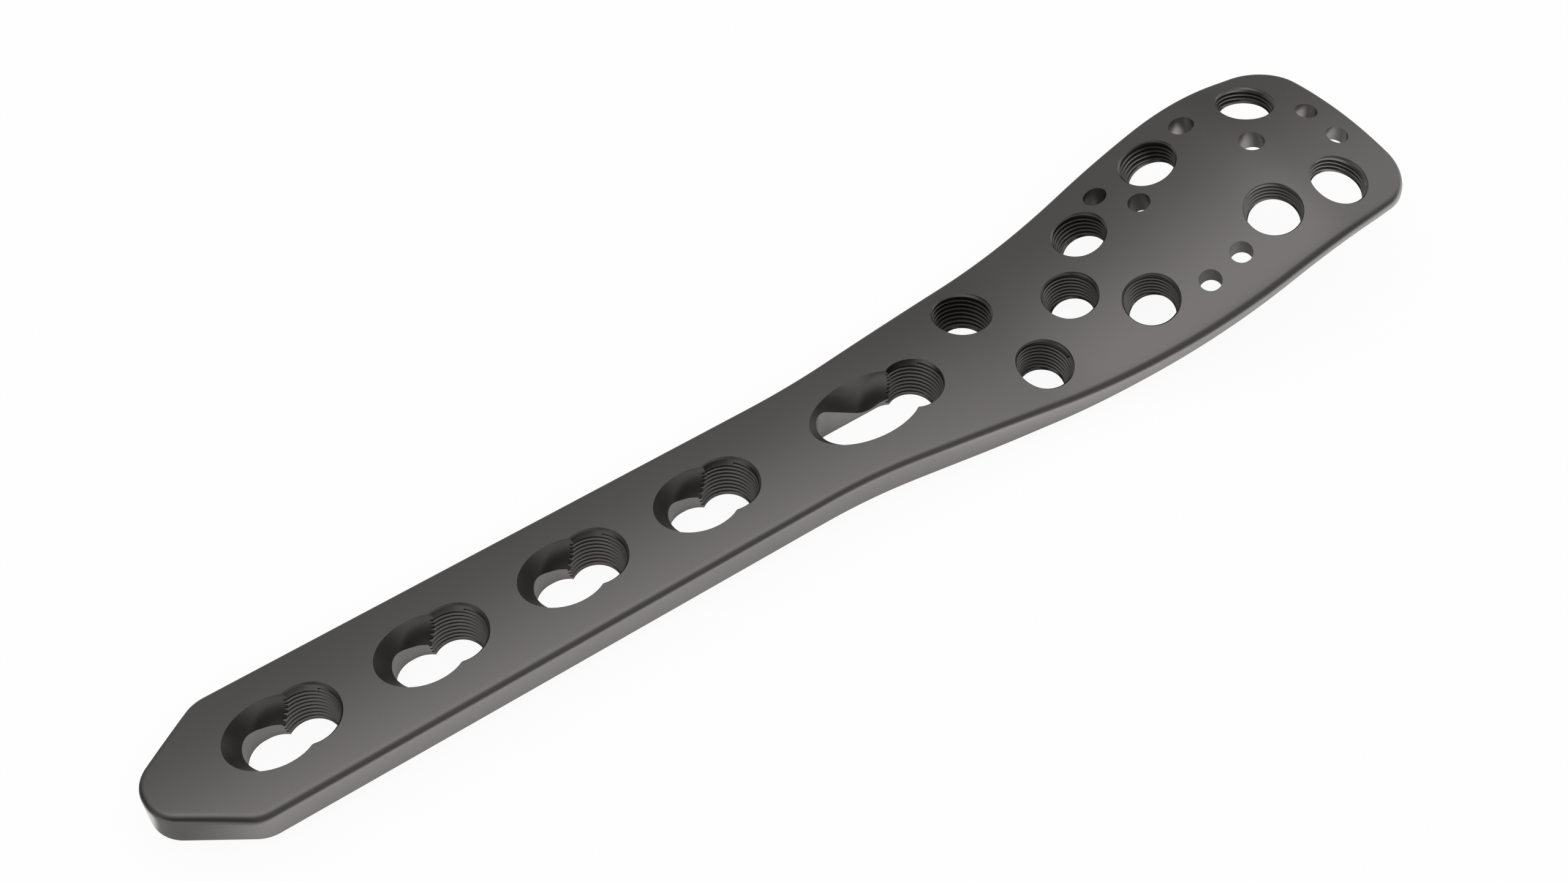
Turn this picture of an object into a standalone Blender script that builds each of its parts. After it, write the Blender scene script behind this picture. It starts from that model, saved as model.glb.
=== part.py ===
"""Orthopaedic bone plate: a straight shaft with combination holes and a flared, raised head.

One solid. Metres, Z up. X runs along the shaft from the tip to the head, Y across it.
It is drawn from the threaded bore nearest the tip, with the crown of the shaft's top face at zero.
At the end it is set down with the origin at the middle of its footprint, on the underside.
"""
import math

import bmesh
import bpy
from mathutils import Matrix, Vector

MM = 0.001

# Shaft: the hole pitch drives every length along it
HOLE_PITCH = 18.0 * MM
PITCH_HOLES = 4
LONG_HOLE_STEP = 1.5
SHAFT_HALF_WIDTH = 8.635 * MM
SHAFT_TAPER = -0.0031
TIP_REACH = 18.75 * MM
TIP_HALF_FLAT = 2.54 * MM
TIP_SLOPE = 0.663
TIP_ROUND = 4.35 * MM

# Head: measured from the threaded bore of the long hole
HEAD_LENGTH = 69.0 * MM
HEAD_HALF_WIDTH = 15.45 * MM
HEAD_CORNER_ROUND = 6.3 * MM
CREST_BACK = 21.4 * MM
FLARE_SLOPE = 0.130
FLARE_EASE = 6.0 * MM
CREST_EASE = 14.0 * MM
END_SLOPE = -0.116
END_SKEW = 0.040
SKEW_RUN = 15.0 * MM

# Centre line of the top face, measured from the long hole: it dips at the neck, climbs, then levels off
DIP_AT = 1.0 * MM
DIP_EASE = 16.0 * MM
DIP_SLOPE = -0.047
RISE_AT = 23.7 * MM
RISE_EASE = 11.0 * MM
RISE_SLOPE = 0.325
LEVEL_AT = 53.2 * MM
LEVEL_EASE = 6.6 * MM
LEVEL_SLOPE = -0.075

# Underside: flat under the shaft, then it climbs faster than the top, so that the head gets thinner
CROWN_RADIUS = 45.75 * MM
THICKNESS = 6.15 * MM
UNDER_RISE_AT = 23.4 * MM
UNDER_RISE_EASE = 9.0 * MM
UNDER_RISE_SLOPE = 0.39
UNDER_LEVEL_AT = 54.2 * MM
UNDER_LEVEL_SLOPE = -0.060
HOLLOW_START = 19.0 * MM
HOLLOW_FULL = 45.0 * MM

# Edge: a small rounding at the top, an upright wall, then a bevel; the wall's depth is below the crown
EDGE_FILLET = 0.54 * MM
BEVEL_WIDTH = 1.5 * MM
LEAST_BEVEL = 0.4 * MM
WALL_DEPTH = 4.48 * MM
WALL_DEEPER_AT = -19.0 * MM
WALL_DEEPER_RATE = 0.018
WALL_NECK_AT = 5.0 * MM
WALL_NECK_RATE = -0.043
WALL_HEAD_AT = 24.0 * MM
WALL_HEAD_RATE = -0.005
WALL_END_AT = 42.0 * MM
WALL_END_RATE = -0.035
WALL_EASE = 4.0 * MM

# Threaded bores: the bore is the cone on the thread crests, its mouth is countersunk square to the face
BORE_MOUTH_RADIUS = 4.0 * MM
BORE_CHAMFER = 0.16 * MM
COUNTERSINK_SPARE = 0.6 * MM
BORE_TAPER = 0.15
MOUTH_DROP = 0.1 * MM

# Compression side of the pitch holes: a ball-ended scoop down a slope, over a through slot
SCOOP_RADIUS = 4.36 * MM
SCOOP_SLOPE = math.radians(52.0)
SCOOP_SHIFT = -3.2 * MM
SCOOP_DROP = 1.0 * MM
SLOT_RADIUS = 3.26 * MM
SLOT_NEAR = -3.95 * MM
SLOT_FAR = -4.35 * MM

# The long hole at the neck is drawn out further
LONG_SCOOP_RADIUS = 4.55 * MM
LONG_SCOOP_SLOPE = math.radians(36.7)
LONG_SCOOP_SHIFT = -4.0 * MM
LONG_SCOOP_DROP = 2.35 * MM
LONG_SLOT_RADIUS = 3.06 * MM
LONG_SLOT_NEAR = -3.0 * MM
LONG_SLOT_FAR = -10.6 * MM

# Head bores: place as a share of head length and half width, lean of the axis in degrees, mouth radius
NECK_MOUTH_RADIUS = 3.66 * MM
HEAD_MOUTH_RADIUS = 3.86 * MM
HEAD_BORES = (
    (0.173, 0.381, -0.6, 11.2, HEAD_MOUTH_RADIUS),
    (0.223, -0.404, -4.8, -3.6, NECK_MOUTH_RADIUS),
    (0.353, 0.003, -13.6, 0.6, NECK_MOUTH_RADIUS),
    (0.457, -0.445, -14.9, -1.5, NECK_MOUTH_RADIUS),
    (0.453, 0.444, -15.6, 12.3, NECK_MOUTH_RADIUS),
    (0.638, 0.595, -13.5, 17.6, HEAD_MOUTH_RADIUS),
    (0.865, 0.555, -8.0, 5.2, HEAD_MOUTH_RADIUS),
    (0.725, -0.481, -16.2, -0.3, HEAD_MOUTH_RADIUS),
    (0.869, -0.557, -7.5, -1.0, HEAD_MOUTH_RADIUS),
)

# Guide-wire bores, in the same terms
WIRE_RADIUS = 1.46 * MM
WIDE_WIRE_RADIUS = 1.65 * MM
WIRE_BORES = (
    (0.529, 0.655, 0.5, 3.0, WIRE_RADIUS),
    (0.568, 0.320, -16.0, 2.8, WIRE_RADIUS),
    (0.737, 0.693, -9.0, 16.3, WIDE_WIRE_RADIUS),
    (0.796, 0.146, -12.0, 8.4, WIDE_WIRE_RADIUS),
    (0.940, 0.170, 5.0, 1.6, WIRE_RADIUS),
    (0.943, -0.183, -3.6, -3.0, WIRE_RADIUS),
    (0.630, -0.600, -20.4, -8.2, WIRE_RADIUS),
    (0.557, -0.623, -21.7, -10.0, WIRE_RADIUS),
)

# Fineness of the facets
ACROSS = 12
LONG_STEP = 6.0 * MM
BEND_STEP = 2.2 * MM
ARC_STEP = math.radians(9.0)
FILLET_STEPS = 3
BORE_SIDES = 40
WIRE_SIDES = 20
BALL_SIDES = 28
CUT_CLEARANCE = 3.0 * MM
SLOPE_RUN = 0.1 * MM

# Places that follow from the sizes above
LONG_HOLE_AT = HOLE_PITCH * (PITCH_HOLES - 1 + LONG_HOLE_STEP)
HEAD_END = LONG_HOLE_AT + HEAD_LENGTH
NECK_START = LONG_HOLE_AT + DIP_AT - DIP_EASE


def eased_bend(x, at, ease, change):
    """Height gained after a line turns by the slope `change` at `at`, rounded over `ease` each side."""
    run = (x - (at - ease)) / (2.0 * ease)
    if run <= 0.0:
        return 0.0
    if run < 1.0:
        return change * ease * run * run
    return change * (x - at)


def crown_height(x):
    """Height of the crown of the top face along the plate."""
    u = x - LONG_HOLE_AT
    dip = eased_bend(u, DIP_AT, DIP_EASE, DIP_SLOPE)
    rise = eased_bend(u, RISE_AT, RISE_EASE, RISE_SLOPE - DIP_SLOPE)
    return dip + rise + eased_bend(u, LEVEL_AT, LEVEL_EASE, LEVEL_SLOPE - RISE_SLOPE)


def crown_slope(x):
    """Slope of the crown along the plate, read over a short run."""
    return (crown_height(x + SLOPE_RUN) - crown_height(x - SLOPE_RUN)) / (2.0 * SLOPE_RUN)


def crown_sag(y):
    """Drop of the crowned face at a distance from the centre line."""
    return y * y / (2.0 * CROWN_RADIUS)


def top_height(x, y):
    return crown_height(x) - crown_sag(y)


def under_line(x):
    """Height of the underside at the centre line."""
    u = x - LONG_HOLE_AT
    rise = eased_bend(u, UNDER_RISE_AT, UNDER_RISE_EASE, UNDER_RISE_SLOPE)
    level = eased_bend(u, UNDER_LEVEL_AT, LEVEL_EASE, UNDER_LEVEL_SLOPE - UNDER_RISE_SLOPE)
    return rise + level - THICKNESS


def plate_thickness(x):
    return crown_height(x) - under_line(x)


def hollow_share(x):
    """How far the underside follows the crown: flat under the shaft, hollowed under the head."""
    share = (x - LONG_HOLE_AT - HOLLOW_START) / (HOLLOW_FULL - HOLLOW_START)
    share = max(0.0, min(1.0, share))
    return share * share * (3.0 - 2.0 * share)


def under_height(x, y):
    return under_line(x) - hollow_share(x) * crown_sag(y)


def wall_foot(x):
    """Level at which the upright wall stops and the bevel starts."""
    u = x - LONG_HOLE_AT
    depth = WALL_DEPTH + eased_bend(u, WALL_DEEPER_AT, WALL_EASE, WALL_DEEPER_RATE)
    depth += eased_bend(u, WALL_NECK_AT, WALL_EASE, WALL_NECK_RATE - WALL_DEEPER_RATE)
    depth += eased_bend(u, WALL_HEAD_AT, WALL_EASE, WALL_HEAD_RATE - WALL_NECK_RATE)
    depth += eased_bend(u, WALL_END_AT, WALL_EASE, WALL_END_RATE - WALL_HEAD_RATE)
    return crown_height(x) - depth


def line_crossing(p, slope_p, q, slope_q):
    """Where two straight edges meet, each given by a point and a slope."""
    x = (q[1] - p[1] + slope_p * p[0] - slope_q * q[0]) / (slope_p - slope_q)
    return Vector((x, p[1] + slope_p * (x - p[0])))


def outline_corners():
    """Corners of one long side with the rounding each one gets, from the tip to the head end."""
    shaft_point = (LONG_HOLE_AT / 3.0, SHAFT_HALF_WIDTH)
    tip = Vector((-TIP_REACH, TIP_HALF_FLAT))
    shoulder = line_crossing(tip, TIP_SLOPE, shaft_point, SHAFT_TAPER)
    crest_drop = (FLARE_SLOPE - END_SLOPE) * CREST_EASE / 4.0
    crest = Vector((HEAD_END - CREST_BACK, HEAD_HALF_WIDTH + crest_drop))
    neck = line_crossing(crest, FLARE_SLOPE, shaft_point, SHAFT_TAPER)
    end = Vector((HEAD_END, crest.y + END_SLOPE * (HEAD_END - crest.x)))
    neck_round = 2.0 * FLARE_EASE / (FLARE_SLOPE - SHAFT_TAPER)
    crest_round = 2.0 * CREST_EASE / (FLARE_SLOPE - END_SLOPE)
    return (
        (tip, TIP_ROUND),
        (shoulder, TIP_ROUND),
        (neck, neck_round),
        (crest, crest_round),
        (end, HEAD_CORNER_ROUND),
    )


def round_corner(before, corner, after, radius):
    """Points and outward normals of the arc that rounds one corner."""
    d0 = (corner - before).normalized()
    d1 = (after - corner).normalized()
    turn = d0.x * d1.y - d0.y * d1.x
    side = 1.0 if turn > 0.0 else -1.0
    angle = math.acos(max(-1.0, min(1.0, d0.dot(d1))))
    reach = radius * math.tan(angle / 2.0)
    n0 = Vector((-d0.y, d0.x))
    start = corner - d0 * reach
    centre = start + n0 * (radius * side)
    step = max(ARC_STEP if radius < HOLE_PITCH else 2.0 * BEND_STEP / radius, 1e-3)
    count = max(2, math.ceil(angle / step))
    out = []
    for i in range(count + 1):
        turned = n0.copy()
        turned.rotate(Matrix.Rotation(side * angle * i / count, 2))
        out.append((centre - turned * (radius * side), turned))
    return out


def fill_gaps(points):
    """Adds points along the straight runs so that no step is longer than the fineness allows."""
    out = [points[0]]
    for a, b in zip(points, points[1:]):
        limit = BEND_STEP if b[0].x > NECK_START else LONG_STEP
        count = max(1, math.ceil((b[0] - a[0]).length / limit))
        for i in range(1, count + 1):
            share = i / count
            normal = a[1].lerp(b[1], share).normalized()
            out.append((a[0].lerp(b[0], share), normal))
    return out


def side_points():
    """One long side of the outline, tip to head end, as points with outward normals."""
    corners = outline_corners()
    places = [Vector((corners[0][0].x, 0.0))] + [c for c, r in corners]
    places.append(Vector((corners[-1][0].x, 0.0)))
    points = []
    for i, (corner, radius) in enumerate(corners):
        points += round_corner(places[i], corner, places[i + 2], radius)
    return fill_gaps(points)


def skewed(x, y):
    """The head end is cut slightly askew, so one of its corners reaches further."""
    share = max(0.0, min(1.0, (x - (HEAD_END - CREST_BACK)) / SKEW_RUN))
    return x - END_SKEW * y * share * share * (3.0 - 2.0 * share)


def ring_places(side):
    """Closed ring of plan points with outward normals: up one side, across the end, back, across the tip."""
    ring = [(p.x, p.y, n.x, n.y) for p, n in side]
    end = side[-1][0]
    for i in range(1, ACROSS):
        ring.append((end.x, end.y * (1.0 - 2.0 * i / ACROSS), 1.0, 0.0))
    ring += [(p.x, -p.y, n.x, -n.y) for p, n in reversed(side)]
    tip = side[0][0]
    for i in range(1, ACROSS):
        ring.append((tip.x, -tip.y * (1.0 - 2.0 * i / ACROSS), -1.0, 0.0))
    return [(skewed(x, y), y, nx, ny) for x, y, nx, ny in ring]


def set_down():
    """Shift that puts the origin under the middle of the footprint."""
    reach = [place[0] for place in ring_places(side_points())]
    return Vector((-(min(reach) + max(reach)) / 2.0, 0.0, THICKNESS))


def ring_points(ring, inset, height):
    """The ring moved inwards, each point at the height the rule gives there."""
    out = []
    for x, y, nx, ny in ring:
        px = x - nx * inset
        py = y - ny * inset
        out.append((px, py, height(px, py)))
    return out


def fillet_rings(ring):
    """Rings of the rounded top edge, from the top face to the wall."""
    rings = []
    for i in range(FILLET_STEPS + 1):
        phi = 0.5 * math.pi * i / FILLET_STEPS
        inset = EDGE_FILLET * (1.0 - math.sin(phi))
        drop = EDGE_FILLET * (1.0 - math.cos(phi))
        rings.append(ring_points(ring, inset, lambda x, y, d=drop: top_height(x, y) - d))
    return rings


def foot_ring(ring):
    """Lower end of the upright wall."""
    out = []
    for x, y, nx, ny in ring:
        least = under_height(x - nx * BEVEL_WIDTH, y - ny * BEVEL_WIDTH) + LEAST_BEVEL
        out.append((x, y, max(wall_foot(x), least)))
    return out


def face_fill(bm, ring, stations, height, flip):
    """Fills a face inside a ring with strips that run across the plate."""
    count = len(ring)
    rows = []
    for i in range(stations):
        left = ring[i]
        right = ring[(stations + ACROSS - 1) + (stations - 1 - i)]
        row = [left]
        for j in range(1, ACROSS):
            if i == stations - 1:
                row.append(ring[stations - 1 + j])
            elif i == 0:
                row.append(ring[count - j])
            else:
                share = j / ACROSS
                x = left.co.x * (1.0 - share) + right.co.x * share
                y = left.co.y * (1.0 - share) + right.co.y * share
                row.append(bm.verts.new((x, y, height(x, y))))
        row.append(right)
        rows.append(row)
    for a, b in zip(rows, rows[1:]):
        for j in range(ACROSS):
            quad = (a[j], a[j + 1], b[j + 1], b[j])
            bm.faces.new(quad if flip else tuple(reversed(quad)))


def blank_mesh():
    """The plate before any hole is cut."""
    side = side_points()
    ring = ring_places(side)
    loops = fillet_rings(ring)
    loops.append(foot_ring(ring))
    loops.append(ring_points(ring, BEVEL_WIDTH, under_height))
    bm = bmesh.new()
    rings = [[bm.verts.new(p) for p in loop] for loop in loops]
    count = len(ring)
    for upper, lower in zip(rings, rings[1:]):
        for i in range(count):
            j = (i + 1) % count
            bm.faces.new((upper[i], upper[j], lower[j], lower[i]))
    face_fill(bm, rings[0], len(side), top_height, False)
    face_fill(bm, rings[-1], len(side), under_height, True)
    return bm


def finish_mesh(bm, name, material):
    """Turns a mesh in the making into a named object, set down with its faces pointing out."""
    bmesh.ops.translate(bm, vec=set_down(), verts=bm.verts)
    bmesh.ops.recalc_face_normals(bm, faces=bm.faces)
    for face in bm.faces:
        face.smooth = True
    for edge in bm.edges:
        if len(edge.link_faces) == 2 and edge.calc_face_angle(0.0) > math.radians(32.0):
            edge.smooth = False
    mesh = bpy.data.meshes.new(name)
    bm.to_mesh(mesh)
    bm.free()
    mesh.materials.append(material)
    thing = bpy.data.objects.new(name, mesh)
    bpy.context.scene.collection.objects.link(thing)
    return thing


def add_turned(bm, profile, sides, frame):
    """Adds a closed turned solid: radius and height pairs spun round the frame's Z."""
    rings = []
    for radius, height in profile:
        ring = []
        for i in range(sides):
            a = 2.0 * math.pi * i / sides
            ring.append(bm.verts.new(frame @ Vector((radius * math.cos(a), radius * math.sin(a), height))))
        rings.append(ring)
    for lower, upper in zip(rings, rings[1:]):
        for i in range(sides):
            j = (i + 1) % sides
            bm.faces.new((lower[i], lower[j], upper[j], upper[i]))
    bm.faces.new(list(reversed(rings[0])))
    bm.faces.new(rings[-1])


def leaning_frame(place, slope_along, slope_across):
    """Frame at a place whose Z leans by two slopes."""
    axis = Vector((slope_along, slope_across, 1.0))
    return Matrix.Translation(place) @ axis.to_track_quat("Z", "Y").to_matrix().to_4x4()


def crest_radius(mouth, height):
    """Radius of the cone on the thread crests at a height below the mouth."""
    return mouth - BORE_CHAMFER + BORE_TAPER * (height + MOUTH_DROP + BORE_CHAMFER)


def cone_profile(mouth, depth):
    """Half section of the tapered wall, run past both faces."""
    foot = -(depth + CUT_CLEARANCE)
    return ((crest_radius(mouth, foot), foot), (crest_radius(mouth, CUT_CLEARANCE), CUT_CLEARANCE))


def countersink_profile(mouth):
    """Half section of the countersink that breaks the rim of a bore."""
    spare = BORE_CHAMFER + COUNTERSINK_SPARE
    return ((mouth - spare, -(MOUTH_DROP + spare)), (mouth, -MOUTH_DROP), (mouth, CUT_CLEARANCE))


def bore_profile(mouth, depth):
    """Half section of an upright bore: tapered wall, chamfer, open mouth."""
    chamfer_foot = -(MOUTH_DROP + BORE_CHAMFER)
    wall = (crest_radius(mouth, chamfer_foot), chamfer_foot)
    return (cone_profile(mouth, depth)[0], wall, (mouth, -MOUTH_DROP), (mouth, CUT_CLEARANCE))


def head_place(along, across):
    x = LONG_HOLE_AT + along * HEAD_LENGTH
    y = across * HEAD_HALF_WIDTH
    return Vector((x, y, top_height(x, y)))


def head_bore_frame(along, across, lean_along, lean_across):
    """Frame of a head bore's axis; the leans are in degrees from upright."""
    slopes = math.tan(math.radians(lean_along)), math.tan(math.radians(lean_across))
    return leaning_frame(head_place(along, across), *slopes)


def face_frame(along, across):
    """Frame square to the crowned, bent top face."""
    place = head_place(along, across)
    return leaning_frame(place, -crown_slope(place.x), place.y / CROWN_RADIUS)


def shaft_bore_places():
    """Threaded bores of the shaft, the long hole last."""
    places = [HOLE_PITCH * i for i in range(PITCH_HOLES)]
    places.append(LONG_HOLE_AT)
    return places


def bore_cutter():
    """All threaded bores as one cutter; none of them touch."""
    bm = bmesh.new()
    for x in shaft_bore_places():
        frame = Matrix.Translation((x, 0.0, 0.0))
        add_turned(bm, bore_profile(BORE_MOUTH_RADIUS, THICKNESS), BORE_SIDES, frame)
    for along, across, lean_x, lean_y, mouth in HEAD_BORES:
        profile = cone_profile(mouth, plate_thickness(head_place(along, across).x))
        add_turned(bm, profile, BORE_SIDES, head_bore_frame(along, across, lean_x, lean_y))
    return bm


def countersink_cutter():
    """Countersinks of the head bores."""
    bm = bmesh.new()
    for along, across, lean_x, lean_y, mouth in HEAD_BORES:
        add_turned(bm, countersink_profile(mouth), BORE_SIDES, face_frame(along, across))
    return bm


def wire_cutter():
    """All guide-wire bores."""
    bm = bmesh.new()
    for along, across, lean_x, lean_y, radius in WIRE_BORES:
        depth = plate_thickness(head_place(along, across).x) + CUT_CLEARANCE
        profile = ((radius, -depth), (radius, CUT_CLEARANCE))
        add_turned(bm, profile, WIRE_SIDES, head_bore_frame(along, across, lean_x, lean_y))
    return bm


def add_slot(bm, near, far, radius):
    """Adds an upright prism with round ends."""
    rim = []
    for i in range(BALL_SIDES + 1):
        a = -0.5 * math.pi + math.pi * i / BALL_SIDES
        rim.append((near + radius * math.cos(a), radius * math.sin(a)))
    for i in range(BALL_SIDES + 1):
        a = 0.5 * math.pi + math.pi * i / BALL_SIDES
        rim.append((far + radius * math.cos(a), radius * math.sin(a)))
    low = [bm.verts.new((x, y, -THICKNESS - CUT_CLEARANCE)) for x, y in rim]
    high = [bm.verts.new((x, y, CUT_CLEARANCE)) for x, y in rim]
    for i in range(len(rim)):
        j = (i + 1) % len(rim)
        bm.faces.new((low[i], low[j], high[j], high[i]))
    bm.faces.new(list(reversed(low)))
    bm.faces.new(high)


def slot_cutter():
    """Through slots of the compression side."""
    bm = bmesh.new()
    for x in shaft_bore_places()[:-1]:
        add_slot(bm, x + SLOT_NEAR, x + SLOT_FAR, SLOT_RADIUS)
    add_slot(bm, LONG_HOLE_AT + LONG_SLOT_NEAR, LONG_HOLE_AT + LONG_SLOT_FAR, LONG_SLOT_RADIUS)
    return bm


def add_scoop(bm, seat, slope, radius):
    """Adds the path of a ball-ended cutter that slides up a slope from its seat."""
    along = Vector((-math.cos(slope), 0.0, math.sin(slope)))
    side = Vector((0.0, 1.0, 0.0))
    up = along.cross(side)
    length = (radius + CUT_CLEARANCE - seat.z) / math.sin(slope) + radius
    rings = []
    for i in range(1, BALL_SIDES // 4 + 1):
        a = 0.5 * math.pi * i / (BALL_SIDES // 4)
        rings.append((-radius * math.cos(a), radius * math.sin(a)))
    rings.append((length, radius))
    loops = []
    for offset, r in rings:
        loop = []
        for j in range(BALL_SIDES):
            b = 2.0 * math.pi * j / BALL_SIDES
            round_it = side * (r * math.cos(b)) + up * (r * math.sin(b))
            loop.append(bm.verts.new(seat + along * offset + round_it))
        loops.append(loop)
    pole = bm.verts.new(seat - along * radius)
    for j in range(BALL_SIDES):
        k = (j + 1) % BALL_SIDES
        bm.faces.new((pole, loops[0][k], loops[0][j]))
        for a, b in zip(loops, loops[1:]):
            bm.faces.new((a[j], a[k], b[k], b[j]))
    bm.faces.new(loops[-1])


def scoop_cutter():
    """Sloping seats for the screw heads."""
    bm = bmesh.new()
    for x in shaft_bore_places()[:-1]:
        add_scoop(bm, Vector((x + SCOOP_SHIFT, 0.0, -SCOOP_DROP)), SCOOP_SLOPE, SCOOP_RADIUS)
    seat = Vector((LONG_HOLE_AT + LONG_SCOOP_SHIFT, 0.0, -LONG_SCOOP_DROP))
    add_scoop(bm, seat, LONG_SCOOP_SLOPE, LONG_SCOOP_RADIUS)
    return bm


def plate_material():
    """Dark satin implant titanium."""
    material = bpy.data.materials.new("dark satin titanium")
    material.use_nodes = True
    shader = material.node_tree.nodes["Principled BSDF"]
    shader.inputs["Base Color"].default_value = (0.200, 0.197, 0.194, 1.0)
    shader.inputs["Metallic"].default_value = 1.0
    shader.inputs["Roughness"].default_value = 0.42
    return material


def cut(thing, cutter):
    """Takes the cutter out of the plate and hides it."""
    cutter.hide_render = True
    cutter.display_type = "WIRE"
    step = thing.modifiers.new(cutter.name, "BOOLEAN")
    step.operation = "DIFFERENCE"
    step.solver = "EXACT"
    step.object = cutter


def main():
    for old in list(bpy.data.objects):
        bpy.data.objects.remove(old, do_unlink=True)
    metal = plate_material()
    plate = finish_mesh(blank_mesh(), "bone_plate", metal)
    cut(plate, finish_mesh(slot_cutter(), "cutter_slots", metal))
    cut(plate, finish_mesh(scoop_cutter(), "cutter_scoops", metal))
    cut(plate, finish_mesh(bore_cutter(), "cutter_threaded_bores", metal))
    cut(plate, finish_mesh(countersink_cutter(), "cutter_countersinks", metal))
    cut(plate, finish_mesh(wire_cutter(), "cutter_wire_bores", metal))


main()
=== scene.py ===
# %% [markdown]
# # An orthopaedic bone plate in dark satin titanium
#
# The object is one forged and milled bar: a straight shaft with holes that
# join a threaded bore to a sloping slot, and a flared head that rises off the
# shaft and carries threaded bores for angled screws.
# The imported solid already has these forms, but its bores are plain cones and
# its faces are coarse. This scene builds the same bar from the same sizes with
# finer steps, cuts real threads, and gives the metal its finish.

import math
import time

import bmesh
import bpy
from mathutils import Matrix, Vector


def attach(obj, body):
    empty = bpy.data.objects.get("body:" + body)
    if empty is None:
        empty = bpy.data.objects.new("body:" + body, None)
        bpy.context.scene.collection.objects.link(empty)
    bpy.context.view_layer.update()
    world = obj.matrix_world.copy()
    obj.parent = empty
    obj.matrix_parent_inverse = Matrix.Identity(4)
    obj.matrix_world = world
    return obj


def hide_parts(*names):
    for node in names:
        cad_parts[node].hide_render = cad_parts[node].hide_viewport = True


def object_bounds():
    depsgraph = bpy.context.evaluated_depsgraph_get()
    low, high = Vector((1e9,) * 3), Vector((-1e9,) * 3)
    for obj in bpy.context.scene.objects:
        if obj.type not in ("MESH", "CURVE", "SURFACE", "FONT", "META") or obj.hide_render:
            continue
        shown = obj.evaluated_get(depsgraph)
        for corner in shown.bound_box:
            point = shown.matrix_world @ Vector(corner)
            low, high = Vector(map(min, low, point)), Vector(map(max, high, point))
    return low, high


STARTED = time.time()
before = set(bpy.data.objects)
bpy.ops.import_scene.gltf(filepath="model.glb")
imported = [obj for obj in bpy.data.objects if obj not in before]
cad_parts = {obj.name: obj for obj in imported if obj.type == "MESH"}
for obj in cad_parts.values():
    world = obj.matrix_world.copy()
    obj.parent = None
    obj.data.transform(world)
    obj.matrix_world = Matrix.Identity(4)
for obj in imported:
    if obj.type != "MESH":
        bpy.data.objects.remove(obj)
CAD_BOX = [list(corner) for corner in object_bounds()]
MM = 0.001
print("solid box in mm", [[round(v / MM, 2) for v in c] for c in CAD_BOX])

# %% [markdown]
# ## Where the drawing starts
#
# The plate is drawn from the threaded bore nearest the tip, because the other
# bores of the shaft lie one, two, three, and four and a half pitches from it,
# with the crown of the shaft's top face at height zero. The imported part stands
# on the middle of its footprint, so one shift at the end carries the drawing
# there.

# %% Main sizes
HOLE_PITCH = 18.0 * MM
LONG_HOLE_AT = 4.5 * HOLE_PITCH
TIP_REACH = 18.75 * MM
HEAD_END = LONG_HOLE_AT + 69.0 * MM
CREST_AT = HEAD_END - 21.4 * MM
SHAFT_HALF_WIDTH = 8.635 * MM
HEAD_HALF_WIDTH = 15.45 * MM
THICKNESS = 6.15 * MM
CROWN_RADIUS = 45.75 * MM
SET_DOWN = Vector((CAD_BOX[0][0] + TIP_REACH, 0.0, THICKNESS))
print("plate length in mm", round((HEAD_END + TIP_REACH) / MM, 2))

# %% [markdown]
# ## The camera
#
# The place and direction come from the photograph: the rims of the round bores
# are circles on a known pitch, so their ellipses fix the view. It looks down at
# the plate by about 52 degrees, from the tip's side, with a slightly long lens.
# A full matrix is set, because three solved directions are more exact than
# angles typed by hand.

# %% Camera
def place_camera():
    """A camera with the solved place, direction and focal length."""
    data = bpy.data.cameras.new("camera")
    data.sensor_width = 36.0
    data.lens = 47.905
    data.clip_start = 0.005
    data.clip_end = 50.0
    camera = bpy.data.objects.new("camera", data)
    bpy.context.scene.collection.objects.link(camera)
    right = Vector((0.82168, -0.56995, 0.00190))
    up = Vector((0.44694, 0.64639, 0.61842))
    ahead = Vector((0.35370, 0.50729, -0.78585))
    place = Vector((-23.779, -123.086, 192.689)) * MM + SET_DOWN
    turn = Matrix((right, up, -ahead)).transposed().to_4x4()
    camera.matrix_world = Matrix.Translation(place) @ turn
    bpy.context.scene.camera = camera
    return camera


CAMERA = place_camera()
print("camera stands at", [round(v, 4) for v in CAMERA.matrix_world.translation])

# %% [markdown]
# ## Sums on sockets
#
# A finish is easier to read as a formula than as a net of nodes. This small
# class wraps one output socket, and each sum on it adds the Math node that does
# it. Everything else goes through one call that makes a node of any type.

# %% A socket that does sums
class Sock:
    """One output socket of a node tree, with arithmetic."""

    def __init__(self, tree, out):
        self.tree = tree
        self.out = out

    def sum_node(self, operation, *values):
        """Adds the Math node for one operation."""
        settings = {"operation": operation}
        return node(self.tree, "ShaderNodeMath", settings, dict(enumerate(values)))

    def __add__(self, other):
        return self.sum_node("ADD", self, other)

    def __radd__(self, other):
        return self.sum_node("ADD", other, self)

    def __sub__(self, other):
        return self.sum_node("SUBTRACT", self, other)

    def __rsub__(self, other):
        return self.sum_node("SUBTRACT", other, self)

    def __mul__(self, other):
        return self.sum_node("MULTIPLY", self, other)

    def __rmul__(self, other):
        return self.sum_node("MULTIPLY", other, self)

    def __abs__(self):
        return self.sum_node("ABSOLUTE", self)

    def smooth(self, low, high):
        """0 below `low`, 1 above `high`, eased between."""
        settings = {"interpolation_type": "SMOOTHSTEP"}
        values = {"Value": self, "From Min": low, "From Max": high}
        return node(self.tree, "ShaderNodeMapRange", settings, values)


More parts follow.
